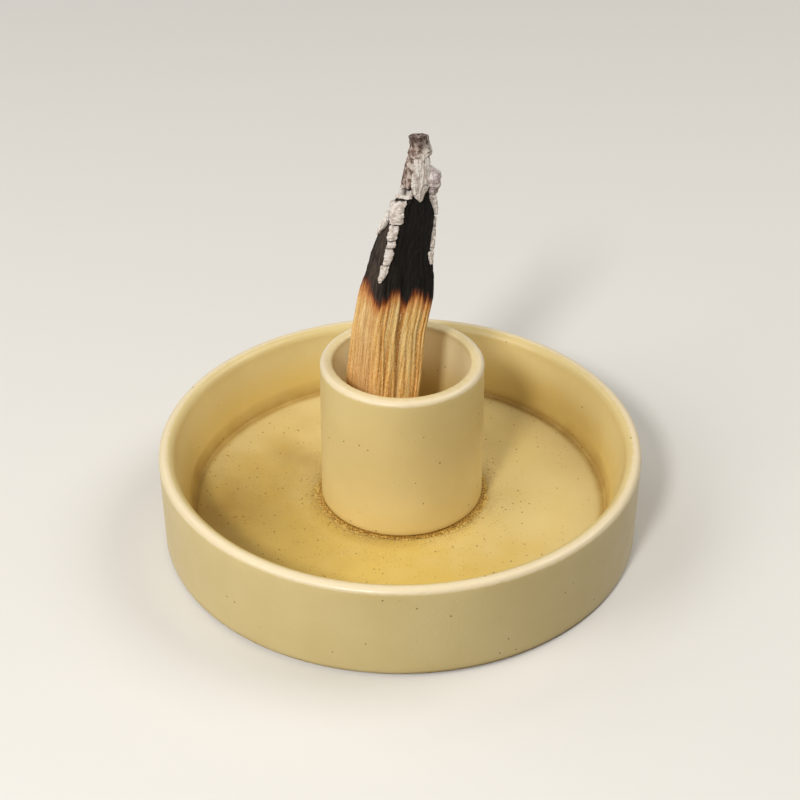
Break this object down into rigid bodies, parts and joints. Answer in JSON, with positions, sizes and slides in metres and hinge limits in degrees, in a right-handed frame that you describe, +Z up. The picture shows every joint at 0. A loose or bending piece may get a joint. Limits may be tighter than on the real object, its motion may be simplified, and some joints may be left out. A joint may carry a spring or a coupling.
{
  "type": "palo santo holder",
  "caption": "Round ceramic dish with an upright cup on its floor that holds a burnt, ash-covered stick of scented wood, which lifts out.",
  "frame": {"origin": "middle of the dish's foot, on the surface that the dish stands on", "axes": "+Z up, +X to the right and -Y towards the viewer in the picture"},
  "size_m": [0.1, 0.1, 0.0892],
  "materials": {
    "glaze": "pale straw-yellow satin glaze with fine brown specks",
    "slip": "rough unglazed brown slip",
    "wood": "raw split wood with long grain",
    "char": "charred black",
    "ash_white": "soft cracked white ash",
    "ash_brown": "soft brown-grey ash",
    "ash_lilac": "soft lilac-grey ash"
  },
  "bodies": {
    "holder": {"dish": "glaze", "cup": "glaze", "slip_seam": "slip"},
    "stick": {"stick_wood": "wood", "stick_char": "char", "ash_tip": "ash_brown", "ash_column_left": "ash_brown", "ash_back": "ash_brown", "ash_ring_left": "ash_white", "ash_face": "ash_white", "ash_shoulder_right": "ash_lilac", "ash_tail_right": "ash_white", "ash_edge_right_1": "ash_white", "ash_edge_right_2": "ash_white", "ash_strip_1": "ash_white", "ash_strip_2": "ash_white", "ash_strip_3": "ash_white", "ash_strip_4": "ash_white", "ash_strip_5": "ash_white", "ash_curl_left": "ash_white", "ash_strip_back_1": "ash_white", "ash_strip_back_2": "ash_white"}
  },
  "joints": [
    {"name": "stick_lift", "type": "slide", "parent": "holder", "child": "stick", "axis": [0, 0, 1], "range_m": [0, 0.045]}
  ]
}
